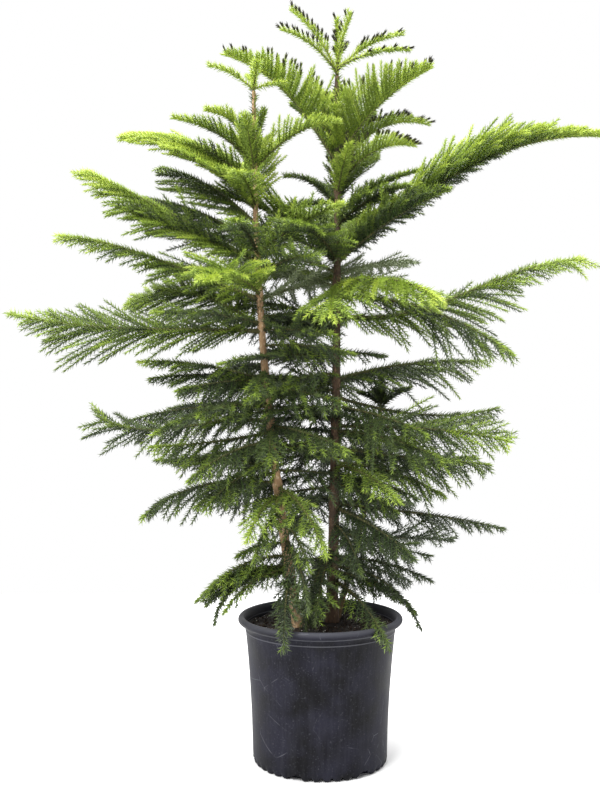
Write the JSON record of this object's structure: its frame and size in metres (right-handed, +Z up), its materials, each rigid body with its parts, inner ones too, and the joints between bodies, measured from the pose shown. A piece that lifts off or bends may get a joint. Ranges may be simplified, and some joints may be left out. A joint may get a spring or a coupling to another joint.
{
  "type": "potted norfolk island pine",
  "caption": "Young Norfolk Island pine as a clump of slim leaders with whorled, needled fronds, standing in a round black nursery pot filled with potting soil.",
  "frame": {"origin": "centre of the pot's flat underside, on the surface it stands on", "axes": "+Z up along the pot's axis; +X to the viewer's right and +Y away from the viewer as pictured"},
  "size_m": [0.9599, 0.5506, 1.2064],
  "materials": {
    "pot": "satin",
    "soil": "matte",
    "bark": "matte",
    "bark_tan": "matte",
    "needles": "satin"
  },
  "bodies": {
    "root": {"bough_left_5a": "bark", "bough_left_6a": "bark", "bough_right_3a": "bark", "bough_right_5a": "bark", "crown_left": "needles", "crown_right": "needles", "crown_small": "needles", "frond_left_10a": "needles", "frond_left_10b": "needles", "frond_left_1a": "needles", "frond_left_1b": "needles", "frond_left_1c": "needles", "frond_left_2a": "needles", "frond_left_3a": "needles", "frond_left_3b": "needles", "frond_left_3c": "needles", "frond_left_4a": "needles", "frond_left_4b": "needles", "frond_left_4c": "needles", "frond_left_5a": "needles", "frond_left_5b": "needles", "frond_left_5c": "needles", "frond_left_6a": "needles", "frond_left_6b": "needles", "frond_left_7a": "needles", "frond_left_7b": "needles", "frond_left_8a": "needles", "frond_left_8b": "needles", "frond_left_9a": "needles", "frond_left_9b": "needles", "frond_right_1a": "needles", "frond_right_1b": "needles", "frond_right_1c": "needles", "frond_right_2a": "needles", "frond_right_2b": "needles", "frond_right_2c": "needles", "frond_right_3a": "needles", "frond_right_3b": "needles", "frond_right_3c": "needles", "frond_right_4a": "needles", "frond_right_4b": "needles", "frond_right_4c": "needles", "frond_right_5a": "needles", "frond_right_6a": "needles", "frond_right_6b": "needles", "frond_right_7a": "needles", "frond_right_8a": "needles", "frond_right_8b": "needles", "frond_right_8c": "needles", "frond_right_9a": "needles", "frond_right_9b": "needles", "frond_small_1a": "needles", "frond_small_1b": "needles", "pot": "pot", "soil": "soil", "trunk_left": "bark_tan", "trunk_right": "bark", "trunk_small": "bark"}
  },
  "joints": []
}
